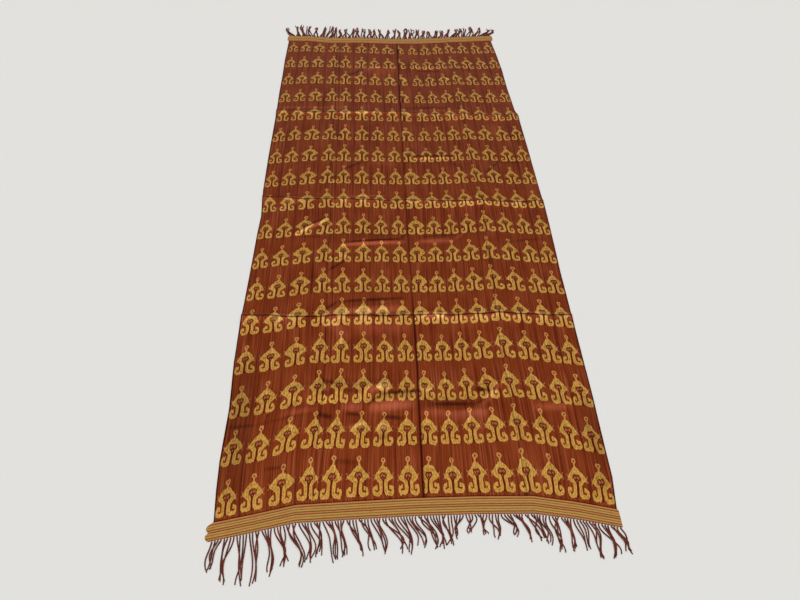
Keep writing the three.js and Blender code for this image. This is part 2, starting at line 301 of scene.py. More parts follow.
def lift_at(panel, share, x, y):
    """Height of the underside over the floor: the folds with their lips, the creases,
    swells and wrinkles and the seam's ridge added up, each easing down from its middle,
    with a slight waviness that never lowers it under the floor."""
    lift = np.zeros_like(x)
    for fold in FOLDS:
        beyond = beyond_crest(fold, x, y)
        uneven = 0.8 + 0.2 * np.sin(x / 67 + fold.crest[0] / 9)
        lift += fold.height * uneven * ease_both(beyond, fold.near_slope, fold.far_slope)
        lift += LIP_HEIGHT * uneven * ease_both(beyond, LIP_NEAR, LIP_FAR)
    width = edge_x("seam", y) - edge_x("left", y)
    for where, place, height, half_width in CREASES:
        if where == panel:
            wander = 3 * np.sin(y / 210 + place * 9)
            aside = np.abs((share - place) * width + wander)
            uneven = 0.75 + 0.25 * np.sin(y / 90 + place * 20)
            lift += height * uneven * ease_down(aside / half_width)
    for x0, y0, reach_x, reach_y, height in SWELLS:
        lift += height * ease_down(np.hypot((x - x0) / reach_x, (y - y0) / reach_y))
    for wrinkle in WRINKLES:
        beyond, strength = wrinkle_at(x, y, wrinkle)
        lift += wrinkle.height * strength * ease_down(np.abs(beyond - RIDGE_BEYOND) / RIDGE_REACH)
    from_seam = np.abs(x - edge_x("seam", y))
    lift += (0.9 + 0.4 * np.sin(y / 67)) * ease_down(from_seam / SEAM_REACH)
    waves = np.sin(x / 31 + 1.3 * np.sin(y / 83)) * np.sin(y / 47 + 1.1 * np.sin(x / 59))
    return lift + WAVINESS * (1 + waves)


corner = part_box("panel_left")[0]
shift = (corner[0] / MM - PLAN_LOWEST[0], corner[1] / MM - PLAN_LOWEST[1])


def put(x, y, z):
    """Plan points in millimetres as points of the frame in metres, stacked last."""
    return np.stack([x + shift[0], y + shift[1], z], -1) * MM


def plan_point(panel, share, warp):
    """A point of one loom width: along its straight weft to the share between its two
    edges, moved by the bow, then set between the edges there."""
    first, second = ("left", "seam") if panel == "left" else ("seam", "right")
    inset = (0, -SEWN / 2) if panel == "left" else (SEWN / 2, 0)

    def between(y):
        """x at the share between the two edges."""
        return (edge_x(first, y) + inset[0]) * (1 - share) + (edge_x(second, y) + inset[1]) * share

    y = warp + bow_at(warp, share_across(between(warp), warp))
    return between(y), y


def surface(name, points, faces):
    """A mesh object of points, stacked last, and faces of equal corner counts."""
    faces = np.asarray(faces, np.int32)
    mesh = bpy.data.meshes.new(name)
    mesh.vertices.add(len(points))
    mesh.vertices.foreach_set("co", np.asarray(points, np.float32).ravel())
    mesh.loops.add(faces.size)
    mesh.loops.foreach_set("vertex_index", faces.ravel())
    mesh.polygons.add(len(faces))
    mesh.polygons.foreach_set("loop_start", np.arange(0, faces.size, faces.shape[1], dtype=np.int32))
    mesh.update(calc_edges=True)
    mesh.polygons.foreach_set("use_smooth", np.ones(len(faces), bool))
    made = bpy.data.objects.new(name, mesh)
    bpy.context.scene.collection.objects.link(made)
    return made


def closed_surface(name, top, under, turned=False):
    """A closed solid: a grid of points, a second grid under it, and the rim between them.
    It faces outwards where rows run away and columns to the right, or else is turned."""
    rows, columns = top.shape[:2]
    points = np.concatenate([top.reshape(-1, 3), under.reshape(-1, 3)])
    at = np.arange(rows * columns).reshape(rows, columns)
    quads = np.stack([at[:-1, :-1], at[:-1, 1:], at[1:, 1:], at[1:, :-1]], -1).reshape(-1, 4)
    rim = np.concatenate([at[0, :-1], at[:-1, -1], at[-1, :0:-1], at[:0:-1, 0]])
    after = np.roll(rim, -1)
    sides = np.stack([rim, rim + at.size, after + at.size, after], -1)
    faces = np.concatenate([quads, quads[:, ::-1] + at.size, sides])
    return surface(name, points, faces[:, ::-1] if turned else faces)


def attribute(made, name, domain, values):
    """A vector attribute of a mesh."""
    layer = made.data.attributes.new(name, "FLOAT_VECTOR", domain)
    layer.data.foreach_set("vector", np.asarray(values, np.float32).ravel())


def both_sides(made, name, *values):
    """A vector attribute of the points, the same on the top and under it."""
    rows = np.stack(np.broadcast_arrays(*values), -1).reshape(-1, 3)
    attribute(made, name, "POINT", np.concatenate([rows, rows]))


def lines_between(borders, lines):
    """Grid lines: even steps from each border to the next one."""
    steps = (len(borders) - 1) * lines
    return np.interp(np.arange(steps + 1), np.arange(len(borders)) * lines, borders)


ROWS = 17  # of figures
FIRST_FOOT = 90.0  # where the nearest row of figures stands
ROW_PITCH = 136.6
ROW_MARGIN = 14.0  # of plain ground under a row, within its cell
LINES_IN_ROW, LINES_IN_COLUMN = 28, 12  # of the grid, in the cell of each figure
FIRST_THREAD = {"left": 0.0, "right": 700.0}  # on the loom, apart so that their streaks differ
FAR_AWAY = 99.0  # x of the rim, clear of every figure

# Columns of figures in each loom width. share: middle across the width. eave: half width
# of the roof. dome: 0 for a straight gable, 1 for a round dome. apex, eye: height of the
# roof's top and of the eye over the foot. left, right: width of each half against the
# common one. lean: how far the top leans right
COLUMNS = {
    "left": {
        "share": [0.054, 0.177, 0.315, 0.443, 0.552, 0.681, 0.807, 0.931],
        "eave": [23.5, 27, 29.5, 22.5, 24, 27.5, 24, 24.5],
        "dome": [0.65, 0.35, 0.6, 0.45, 0.2, 0.15, 0.5, 0.6],
        "apex": [77, 80, 82, 90, 94, 90, 81, 81],
        "eye": [50, 50, 55, 56, 58, 59, 53, 50],
        "left": [0.92, 1.0, 1.12, 1.02, 1.02, 1.08, 1.02, 1.0],
        "right": [1.0, 1.05, 1.0, 1.0, 0.98, 1.02, 1.0, 1.0],
        "lean": [0.0, 0.02, 0.03, 0.01, 0.01, 0.01, 0.0, 0.0],
    },
    "right": {
        "share": [0.045, 0.168, 0.296, 0.428, 0.556, 0.684, 0.818, 0.9375],
        "eave": [26, 23, 23.5, 27, 24, 26, 24, 23.5],
        "dome": [0.6, 0.65, 0.25, 0.3, 0.35, 0.25, 0.4, 0.4],
        "apex": [80, 76, 87, 84, 94, 88, 87, 84],
        "eye": [49, 49, 56, 55, 57, 56, 54, 53],
        "left": [1.0, 0.95, 0.98, 1.03, 0.9, 1.0, 0.98, 0.98],
        "right": [1.08, 1.08, 1.08, 1.08, 1.15, 1.08, 1.03, 1.05],
        "lean": [0.0, 0.0, -0.02, -0.03, -0.06, -0.02, -0.03, -0.03],
    },
}

# The right width's first column drifts from the seam: share across it along the warp
DRIFT = {
    "warp": [80, 500, 1050, 1400, 1600, 1870, 2387],
    "share": [0.036, 0.045, 0.053, 0.042, 0.027, 0.016, 0.006],
}

# How far the threads in the middle of each column lie right of their straight place, at
# some rows of figures counted from the near end
SWAY = {
    "left": {
        0: [-1, -2, -1, -2, -1, 1, -1, 1],
        1: [1, -1, -2, 3, 7, 5, 0, -1],
        2: [2, 4, 6, 9, 11, 10, 6, 2],
        3: [2, 11, 10, 14, 18, 14, 11, 6],
        5: [1, 4, 1, 8, 14, 14, 7, 2],
        7: [-2, -1, -4, 2, 10, 12, 8, 4],
        10: [0, -4, -7, 2, 6, 8, 4, 4],
        12: [3, -4, -7, 1, 4, 6, 2, 3],
        14: [2, -4, -10, -4, -2, -5, -6, -4],
        16: [0, -6, -14, -8, -11, -2, -10, -14],
    },
    "right": {
        0: [-6, -6, -3, 0, 0, -1, -4, 1],
        1: [-1, -4, -4, -4, -4, 1, 0, 3],
        3: [-4, -5, -10, -16, -10, -4, -2, -2],
        5: [-4, 0, -6, -8, -6, 0, 2, 2],
        7: [1, 6, 2, -2, -2, 4, 1, 4],
        8: [4, 12, 6, 2, 4, 2, -2, 2],
        10: [3, 10, 4, 1, -7, -2, 2, 6],
        12: [10, 6, 2, 0, -6, 2, 2, 6],
        14: [6, 4, -2, 2, -2, 4, 6, 9],
        16: [3, -11, -7, -8, -12, -5, -6, 7],
    },
}

# Height of the figures against the common one, at some rows
SHORTER = {"row": [0, 3, 7, 12, 16], "tall": [1.0, 0.99, 0.94, 0.9, 0.9]}

# How much thinner the gold is drawn along the warp, in millimetres from each edge
THINNER = {"warp": [80, 600, 1200, 1700, 2387], "by": [0.1, 0.4, 0.8, 1.3, 1.7]}

# How much narrower the seam's dark line is along the warp, in millimetres on each side
FAINT_SEAM = {"warp": [80, 620, 740, 1700, 1790, 2387], "by": [0.0, 0.5, 4.4, 4.4, 1.5, 1.0]}

dice = np.random.default_rng(7)


def sway_at(panel, shares, warps):
    """How far right each thread lies: the table read along the warp for each column, then
    across between the columns, easing to none at both edges."""
    line = (warps - FIRST_FOOT) / ROW_PITCH
    rows = list(SWAY[panel])
    table = np.transpose(list(SWAY[panel].values()))
    along = np.stack([np.interp(line, rows, column) for column in table], -1)
    places = np.concatenate([[0], COLUMNS[panel]["share"], [1]])
    return np.stack([np.interp(shares, places, np.pad(row, 1)) for row in along])


def chart_figures(made, panel, shares, warps):
    """Gives each face the sizes of its own figure, and each corner its place from the
    middle of that figure's foot. The rim is left plain."""
    columns, width = COLUMNS[panel], LOOM_WIDTH[panel]
    rows, across = len(warps) - 1, len(shares) - 1
    row, column = np.divmod(np.arange(rows * across), across)
    cell_row, cell_column = row // LINES_IN_ROW, column // LINES_IN_COLUMN
    warp = warps[row[:, None] + [0, 0, 1, 1]]
    share = shares[column[:, None] + [0, 1, 1, 0]]
    table = {key: np.array(values)[cell_column] for key, values in columns.items()}

    middle = table["share"][:, None]
    if panel == "right":
        drifting = (cell_column == 0)[:, None]
        middle = np.where(drifting, np.interp(warp, DRIFT["warp"], DRIFT["share"]), middle)
    x = (share - middle) * width
    shorter = np.interp(cell_row, SHORTER["row"], SHORTER["tall"])[:, None]
    y = (warp - FIRST_FOOT - ROW_PITCH * cell_row[:, None]) / shorter
    from_seam = (1 - share if panel == "left" else share) * width
    from_seam = from_seam + np.interp(warp, FAINT_SEAM["warp"], FAINT_SEAM["by"])
    place = np.stack([x, y, from_seam], -1)
    rim = 2 * (rows + across)
    plain = np.tile([[[FAR_AWAY, 0.0, 0.0]]], (rim, 4, 1))
    attribute(made, "figure", "CORNER", np.concatenate([place, place[:, ::-1], plain]))

    def each_face(*values):
        """A vector for each face of both sides, and none on the rim."""
        stacked = np.stack(values, -1)
        return np.concatenate([stacked, stacked, np.zeros((rim, 3))])

    attribute(made, "roof", "FACE", each_face(table["eave"], table["dome"], table["apex"]))
    attribute(made, "halves", "FACE", each_face(table["left"], table["right"], table["lean"]))
    tied = dice.uniform(-1, 1, (2, ROWS, len(columns["share"])))[:, cell_row, cell_column]
    attribute(made, "tied", "FACE", each_face(*tied, table["eye"]))


def loom_width(panel):
    """One loom width: grid lines run between the cells of the figures, so that each face
    lies in one cell. A point is its place on the loom, moved by the sway of the threads
    and the bow of the wefts, and lifted by the folds."""
    width = LOOM_WIDTH[panel]
    middles = np.array(COLUMNS[panel]["share"])
    borders = np.concatenate([[0], (middles[1:] + middles[:-1]) / 2, [1]])
    feet = FIRST_FOOT + ROW_PITCH * np.arange(ROWS)
    cuts = np.concatenate([[NEAR_END], feet[1:] - ROW_MARGIN, [FAR_END]])
    shares = lines_between(borders, LINES_IN_COLUMN)
    warps = lines_between(cuts, LINES_IN_ROW)
    share, warp = np.meshgrid(shares, warps)
    swayed = share + sway_at(panel, shares, warps) / width
    x, y = plan_point(panel, swayed, warp)
    top = put(x, y, lift_at(panel, swayed, x, y) + THICKNESS)
    made = closed_surface("ikat_" + panel, top, top - [0, 0, THICKNESS * MM])
    chart_figures(made, panel, shares, warps)

    from_selvedge = (share if panel == "left" else 1 - share) * width
    from_border = np.abs(share[..., None] - borders).min(-1) * width
    thinner = np.interp(warp, THINNER["warp"], THINNER["by"])
    both_sides(made, "loom", share * width + FIRST_THREAD[panel], warp, from_selvedge)
    both_sides(made, "folds", *(beyond_crest(fold, x, y) for fold in FOLDS))
    # The attribute holds the wrinkles' painted highlight and shade, the distance from the column borders,
    # and how much thinner the gold is drawn
    both_sides(made, "painted_sheen", painted_sheen_at(x, y), from_border, thinner)
    return made


class Value:
    """A socket of a material. Arithmetic on it adds Math nodes."""

    def __init__(self, tree, socket):
        self.tree, self.socket = tree, socket

    def node(self, kind, settings, sockets, output=0):
        """A node of a type, with its settings made first, then the values or links of its
        sockets; the value is its output."""
        made = self.tree.nodes.new(kind)
        for key, setting in settings.items():
            setattr(made, key, setting)
        for key, given in sockets.items():
            if isinstance(given, Value):
                given.into(made.inputs[key])
            else:
                made.inputs[key].default_value = given
        return Value(self.tree, made.outputs[output])

    def into(self, socket):
        """Links the value to a socket."""
        self.tree.links.new(self.socket, socket)

    def math(self, operation, *others):
        """A Math node on this value and others."""
        return self.node("ShaderNodeMath", {"operation": operation}, dict(enumerate((self, *others))))

    def reflected(self, operation, other):
        """A Math node with this value second."""
        return self.node("ShaderNodeMath", {"operation": operation}, {0: other, 1: self})

    def __add__(self, other):
        return self.math("ADD", other)

    def __sub__(self, other):
        return self.math("SUBTRACT", other)

    def __rsub__(self, other):
        return self.reflected("SUBTRACT", other)

    def __mul__(self, other):
        return self.math("MULTIPLY", other)

    def __truediv__(self, other):
        return self.math("DIVIDE", other)

    def __rtruediv__(self, other):
        return self.reflected("DIVIDE", other)

    def __abs__(self):
        return self.math("ABSOLUTE")

    __radd__ = __add__
    __rmul__ = __mul__

    def least(self, other):
        """The lower of two values."""
        return self.math("MINIMUM", other)

    def most(self, other):
        """The higher of two values."""
        return self.math("MAXIMUM", other)

    def between(self, low, high):
        """0 at low, 1 at high, smooth between them."""
        settings = {"interpolation_type": "SMOOTHSTEP"}
        return self.node("ShaderNodeMapRange", settings, {0: self, 1: low, 2: high, 3: 0.0, 4: 1.0})

    def blend(self, first, second):
        """A colour between two, by this share."""
        settings = {"data_type": "RGBA", "clamp_factor": True}
        return self.node("ShaderNodeMix", settings, {0: self, 6: first, 7: second}, 2)

    def scaled(self, share):
        """This colour, times a share."""
        sockets = {"Vector": self, "Scale": share}
        return self.node("ShaderNodeVectorMath", {"operation": "SCALE"}, sockets)

    def bump(self, strength, distance):
        """The bump of this height."""
        sockets = {"Strength": strength, "Distance": distance, "Height": self}
        return self.node("ShaderNodeBump", {}, sockets)


def colour(red, green, blue):
    """An 8-bit screen colour as a linear one."""
    return tuple(((c / 255 + 0.055) / 1.055) ** 2.4 for c in (red, green, blue)) + (1.0,)


def material(name):
    """A new material: its shader's node, and a value to start expressions from."""
    made = bpy.data.materials.new(name)
    made.use_nodes = True
    shader = made.node_tree.nodes["Principled BSDF"]
    return made, shader, Value(made.node_tree, shader.outputs[0])


def read(start, name):
    """The three parts of a mesh attribute."""
    whole = start.node("ShaderNodeAttribute", {"attribute_name": name}, {}, "Vector")
    parts = whole.node("ShaderNodeSeparateXYZ", {}, {0: whole}).socket.node.outputs
    return [Value(start.tree, parts[axis]) for axis in range(3)]


def noise(x, y, z=0.0, detail=2.0):
    """Noise from 0 to 1 at a place, with an even spread about a half."""
    place = x.node("ShaderNodeCombineXYZ", {}, {0: x, 1: y, 2: z})
    return x.node("ShaderNodeTexNoise", {}, {"Vector": place, "Scale": 1.0, "Detail": detail})


def wave(place, pitch, ahead=0.0):
    """A sine of one wave to the pitch, from -1 to 1, started so far ahead."""
    return (place * (2 * math.pi / pitch) + ahead).math("SINE")


def length_of(x, y):
    """The root of x^2 + y^2."""
    return (x * x + y * y).math("SQRT")


def strokes(x, y, points, half_widths):
    """Distance to a chain of round-ended strokes: the least of the lengths from the point
    to the nearest one of each line, less the line's half width."""
    chain = []
    for (x1, y1), (x2, y2), half_width in zip(points, points[1:], half_widths):
        run_x, run_y = x2 - x1, y2 - y1
        near = ((x - x1) * run_x + (y - y1) * run_y) / (run_x**2 + run_y**2)
        near = near.most(0.0).least(1.0)
        chain.append(length_of(x - x1 - near * run_x, y - y1 - near * run_y) - half_width)
    return reduce(Value.least, chain)


# The common figure, in millimetres over its foot. Each half is one leg, whose foot
# curls out and up round a dark slot; the two legs carry a roofed head with a dark eye,
# and a small ring stands on its top
LEG_INNER, LEG_OUTER, LEG_LOW = 2.6, 11.6, 10.0
FOOT_X, FOOT_Y, FOOT_WIDE, FOOT_HIGH = 15.6, 14.4, 12.6, 14.2  # the curl's body, an oval
FOOT_POWER = 2.8  # of the oval, squarer than the 2 of an ellipse
SLOT = [(13.8, 36.0), (13.8, 15.5), (18.8, 13.0), (21.3, 16.5)]
SLOT_HALVES = [2.6, 2.6, 1.6]
BRIM_UNDER_EYE, BRIM_FLARE, EAVE_DROP = 3.0, 1.5, 2.0
APEX_OVER = 2.0  # from the apex to the flat top under the ring
PARTING_UNDER_EYE = 10.0  # where the parting of the two halves starts to close
SLANT = 0.7  # from the height under a slanting eave to the distance from it
RING_OVER_APEX, RING_RADIUS, RING_HALF, RING_TALL = 15.5, 4.5, 1.9, 1.2
STEM, STEM_HALVES = [(0.0, -19.0), (0.0, -6.5)], [2.1]  # from the ring's middle
SLIT_FOOT = 3.0  # where the dark slit between the legs starts

# From the eye's middle: the dark lobe of each half, the tip under both, the rose ring in
# each lobe, the rose dot in the tip, and how much flatter each is than round
LOBE_X, LOBE_Y, LOBE_RADIUS, LOBE_FLAT = 3.0, 1.0, 7.2, 0.78
TIP, TIP_HALVES = [(3.2, -5.0), (0.0, -14.0)], [2.8]
IRIS_X, IRIS_Y, IRIS_RADIUS, IRIS_HALF, IRIS_FLAT = 3.8, 1.0, 1.9, 0.8, 0.8
DOT_Y, DOT_RADIUS, DOT_FLAT = -8.0, 1.3, 0.75

# The two rose barbs past each eave, from its edge at the eye's height
BARBS = [[(-0.5, 1.5), (2.8, 6.0)], [(-0.5, -6.0), (2.8, -10.0)]]
BARB_HALVES = [1.1]

# How far the dye strays: the width of thread that slips as one, its slip along the warp,
# the wander of the ties across and along, and the drift of a whole figure
TIED_THREAD, SLIP = 1.7, 4.2
WANDER_X, WANDER_Y = 7.0, 6.0
DRIFT_X, DRIFT_Y = 0.8, 1.5


def figure_parts(start):
    """Distances, in millimetres and under 0 inside, to the parts of a figure: its gold
    body, its ring and stem, its dark eye, the dark slit between its legs, the rose dots
    in its eye and the rose barbs past its eaves."""
    x, y, _ = read(start, "figure")
    eave, dome, apex = read(start, "roof")
    left, right, lean = read(start, "halves")
    drift_x, drift_y, eye = read(start, "tied")
    thread, warp, _ = read(start, "loom")
    thinner = read(start, "painted_sheen")[2]

    # Each thread slips along the warp by itself, and the ties wander a little
    one_thread = (thread / TIED_THREAD).math("FLOOR")
    slipped = start.node("ShaderNodeTexWhiteNoise", {"noise_dimensions": "1D"}, {"W": one_thread})
    wander_x = noise(thread * 0.05, warp * 0.03, drift_x, 1.0)
    wander_y = noise(thread * 0.06, warp * 0.05, drift_y, 1.0)
    x = x + drift_x * DRIFT_X + (wander_x - 0.5) * WANDER_X - lean * y
    y = y + drift_y * DRIFT_Y + (slipped - 0.5) * SLIP + (wander_y - 0.5) * WANDER_Y
    rightward = x.math("GREATER_THAN", 0.0)
    x = abs(x) / (left + (right - left) * rightward)

    leg = abs(x - (LEG_INNER + LEG_OUTER) / 2) - (LEG_OUTER - LEG_INNER) / 2
    leg = leg.most(LEG_LOW - y).most(y - eye)
    foot_x = abs((x - FOOT_X) / FOOT_WIDE).math("POWER", FOOT_POWER)
    foot_y = abs((y - FOOT_Y) / FOOT_HIGH).math("POWER", FOOT_POWER)
    foot = ((foot_x + foot_y).math("POWER", 1 / FOOT_POWER) - 1) * FOOT_WIDE
    curl = foot.most(0 - strokes(x, y, SLOT, SLOT_HALVES)).most(LEG_INNER - x)

    # The roof's half width falls from the eave to the apex along a line, a circle or a
    # blend of both, and its eaves slant back under it to the legs
    brim = eye - BRIM_UNDER_EYE
    up = ((y - brim) / (apex - brim)).most(0.0).least(1.0)
    gable = 1 - up
    arch = (1 - up * up).math("SQRT")
    half = eave * (gable + (arch - gable) * dome) + gable.math("POWER", 6.0) * BRIM_FLARE
    under = (brim - EAVE_DROP - eave + x - y) * SLANT
    parting = LEG_INNER - x - (y - eye + PARTING_UNDER_EYE).most(0.0)
    roof = (x - half).most(under).most(y - apex - APEX_OVER).most(parting)
    gold = leg.least(curl).least(roof) + thinner

    from_ring = y - apex - RING_OVER_APEX
    ring = abs(length_of(x, from_ring / RING_TALL) - RING_RADIUS) - RING_HALF
    thin = ring.least(strokes(x, from_ring, STEM, STEM_HALVES))

    from_eye = y - eye
    slit = (x - LEG_INNER).most(from_eye).most(SLIT_FOOT - y)
    lobe = length_of(x - LOBE_X, (from_eye - LOBE_Y) * LOBE_FLAT) - LOBE_RADIUS
    dark = lobe.least(strokes(x, from_eye, TIP, TIP_HALVES))
    iris = length_of(x - IRIS_X, (from_eye - IRIS_Y) * IRIS_FLAT) - IRIS_RADIUS
    dots = (abs(iris) - IRIS_HALF).least(length_of(x, (from_eye - DOT_Y) * DOT_FLAT) - DOT_RADIUS)
    barbs = reduce(Value.least, [strokes(x - eave, from_eye, barb, BARB_HALVES) for barb in BARBS])
    return gold, thin, dark, slit, dots, barbs


# Painted light and shade on the cloth, in shares of its colour: painted shade of fine creases
# along the column borders in patches by bundles of warp threads, painted shade and highlight on
# the lengthwise creases, and painted highlight on the lips and near slopes of each fold, with a
# painted shadow line on its crest
BUNDLE = 33.0
BORDER_PAINTED_SHADE = 0.22
CREASE_WANDER = 22.0
CREASE_PAINTED_SHADE, CREASE_PAINTED_SHADE_BY_HEIGHT, CREASE_PAINTED_HIGHLIGHT = 0.1, 0.07, 0.05  # the last two by its height
FOLD_WOBBLE = 5.0
FOLD_PAINTED_SHADE, LIP_PAINTED_HIGHLIGHT, LIP_PAINTED_HIGHLIGHT_UNEVEN, SLOPE_PAINTED_HIGHLIGHT = 0.6, 0.25, 0.4, 0.35


def painted_light_and_shade(start):
    """The painted light and shade of the cloth, as a factor on its colour: 1 where none is painted."""
    thread, warp, _ = read(start, "loom")
    painted_sheen, from_border, _ = read(start, "painted_sheen")
    # Painted shade of fine creases: darker lines along the column borders, in patches by bundles of warp
    # threads
    bundle = noise(warp * 0.004, (thread / BUNDLE).math("FLOOR"), detail=1.0).between(0.3, 0.6)
    painted_gain = painted_sheen + 1 - from_border.between(5.0, 1.0) * bundle * BORDER_PAINTED_SHADE
    # Painted shade on each lengthwise crease, with a painted highlight beside it
    for panel, share, height, _ in CREASES:
        at = share * LOOM_WIDTH[panel] + FIRST_THREAD[panel]
        aside = thread - at + (noise(warp * 0.005, at) - 0.5) * CREASE_WANDER
        painted_gain = painted_gain - abs(aside).between(3.4, 0.8) * (CREASE_PAINTED_SHADE + CREASE_PAINTED_SHADE_BY_HEIGHT * height)
        painted_gain = painted_gain + abs(aside - 6).between(5.0, 0.0) * CREASE_PAINTED_HIGHLIGHT * height
    # Painted highlight on each fold's lip and near slope, and a painted shadow line on its crest, each
    # uneven along the fold
    uneven = noise(thread * 0.012, 3.7).between(0.35, 0.6)
    line_wobble = (noise(thread * 0.15, warp * 0.02) - 0.5) * FOLD_WOBBLE
    for beyond in read(start, "folds"):
        wobbled = beyond + line_wobble
        lip = wobbled.between(2.0, 6.0) * wobbled.between(17.0, 10.0)
        slope = beyond.between(-42.0, -8.0) * beyond.between(0.0, -3.0)
        painted_gain = painted_gain + lip * (uneven * LIP_PAINTED_HIGHLIGHT_UNEVEN + LIP_PAINTED_HIGHLIGHT) + slope * uneven * SLOPE_PAINTED_HIGHLIGHT
        painted_gain = painted_gain * (1 - abs(wobbled - 1).between(4.0, 1.0) * FOLD_PAINTED_SHADE)
    return painted_gain


# Colours of the dyed warp, as they look in plain light, and of the painted sheen
BRICK = colour(113, 46, 16)
BRICK_DARK = colour(84, 27, 10)
BRICK_PALE = colour(136, 70, 42)
GOLD = colour(180, 132, 60)
GOLD_PALE = colour(208, 168, 98)
GOLD_OLIVE = colour(124, 92, 26)
EYE_DARK = colour(84, 20, 6)
EYE_ROSE = colour(184, 118, 72)
RING_TAN = colour(182, 126, 66)
# The colours of the painted sheen: a painted highlight on the red ground and on the gold
PAINTED_SHEEN_ROSE = colour(176, 98, 80)
PAINTED_SHEEN_GOLD = colour(238, 206, 136)
SELVEDGE = colour(74, 20, 12)

RIB_PITCH, PICK_PITCH = 0.9, 2.2  # of the weave's relief, across and along the warp
RELIEF = 0.00015  # of a rib, in metres


def ikat_material():
    """The dyed cloth: streaks of threads for the ground, the parts of the figures over it
    one after another, and the whole made lighter or darker by painted highlight and painted shade."""
    made, shader, start = material("ikat_weave")
    thread, warp, from_selvedge = read(start, "loom")
    from_seam = read(start, "figure")[2]
    gold, thin, dark, slit, dots, barbs = figure_parts(start)

    # Streaks of the dyed threads: single threads, bands of them, and wide shades
    single = noise(thread * 0.8, warp * 0.008, detail=0.0)
    band = noise(thread * 0.3, warp * 0.004, detail=1.0)
    shade = noise(thread * 0.02, warp * 0.01)
    streak = single * 0.8 + band * 1.2 + shade * 0.5 - 0.75
    plain = streak.between(0.15, 0.55).blend(BRICK_DARK, BRICK)
    plain = streak.between(0.5, 0.95).blend(plain, BRICK_PALE)
    around = gold.least(thin).least(barbs + 1)
    cloth = (around.between(3.2, 0.8) * 0.5).blend(plain, EYE_DARK)

    # The gold is browner inside its edges, in patches, and paler on single threads
    inside = (0 - gold).between(0.8, 4.0).most(0.35)
    worn = noise(thread * 0.3, warp * 0.12, detail=3.0).between(0.38, 0.62)
    yellow = (inside * worn).blend(GOLD, GOLD_OLIVE)
    yellow = single.between(0.5, 0.9).blend(yellow, GOLD_PALE)

    # Each layer of dye: its distance, where it begins and where it is full, its strength
    # and its colour
    rose_strength = (1 - read(start, "painted_sheen")[2] * 0.45) * 0.6
    layers = [
        (gold, (0.9, -0.7), 1.0, yellow),
        (thin, (0.8, -0.7), 0.85, RING_TAN),
        (dark, (1.0, -0.6), 1.0, EYE_DARK),
        (dark, (-1.6, -3.2), 0.8, plain),
        (slit, (0.9, -0.6), 1.0, EYE_DARK),
        (dots, (0.8, -0.6), rose_strength, EYE_ROSE),
        (barbs, (0.8, -0.5), rose_strength, EYE_ROSE),
        (from_selvedge, (4.0, 2.5), 0.8, SELVEDGE),
        (from_seam, (7.5, 1.0), 0.85, SELVEDGE),
    ]
    for distance, (begins, full), strength, dye in layers:
        cloth = (distance.between(begins, full) * strength).blend(cloth, dye)

    # Painted shade makes the cloth darker by a share of its colour; painted highlight makes it paler, with
    # a sheen colour of its own
    painted_gain = painted_light_and_shade(start)
    painted_highlight = (painted_gain - 1).most(0.0)
    cloth = cloth.scaled(painted_gain.least(1.0).most(0.3).math("POWER", 1.4) + painted_highlight * 0.45)
    sheen = gold.between(0.9, -0.7).blend(PAINTED_SHEEN_ROSE, PAINTED_SHEEN_GOLD)
    cloth = (painted_highlight * (single * 0.3 + 0.14)).blend(cloth, sheen)

    picks = wave(warp, PICK_PITCH, (thread / RIB_PITCH).math("FLOOR") * math.pi)
    relief = wave(thread, RIB_PITCH) * 0.5 + picks * 0.35 + single * 1.2
    cloth.into(shader.inputs["Base Color"])
    relief.bump(0.5, RELIEF).into(shader.inputs["Normal"])
    (0.36 + single * 0.16).into(shader.inputs["Roughness"])
    shader.inputs["Metallic"].default_value = 0.5
    shader.inputs["Specular IOR Level"].default_value = 0.03
    return made


ikat = ikat_material()
widths = {}
for panel in ("left", "right"):
    widths[panel] = loom_width(panel)
    widths[panel].data.materials.append(ikat)
    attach(widths[panel], "root")
    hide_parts("panel_" + panel)


# The headings. Across each end of the weave the warps are twined with rows of gold and
# of rose cord into a firm flat band, and its two ends stand out past the selvedges.

GAP = 0.3  # to the weave, and to the fringe
HEADING_WIDTH = 46.0
# For each end: the way out along the warp, the weave's end, how far the band stands out
# past each selvedge, and how much narrower it ends on each side
HEADINGS = {
    "near": {"out": -1, "warp": NEAR_END, "left": 16.0, "right": 3.5, "shrink": 2.0},
    "far": {"out": 1, "warp": FAR_END, "left": 9.0, "right": 11.0, "shrink": 6.0},
}
# Rows of cord from the weave outwards
CORD_KINDS = ["rose", "gold", "gold", "rose", "gold", "gold", "rose"]
CORD_WIDTHS = [6.4, 6.6, 6.6, 6.2, 6.9, 6.9, 6.4]
CORD_VALLEY, CORD_CREST = 1.9, 3.1  # heights over the floor
END_DROP = 0.6  # how much lower the band ends, as a share of its height
LINES_IN_CORD, LINES_ALONG = 6, 420
WEFT_STEPS = 200  # places on each loom width's last weft
SLOPE_STEPS = 12  # of them give the slope that the band's ends keep


def weave_end(warp):
    """The weave's end on the plan, from the left selvedge to the right one."""
    share = np.linspace(0, 1, WEFT_STEPS)
    ends = [plan_point(panel, share, np.full_like(share, warp)) for panel in ("left", "right")]
    return np.concatenate(ends, 1)


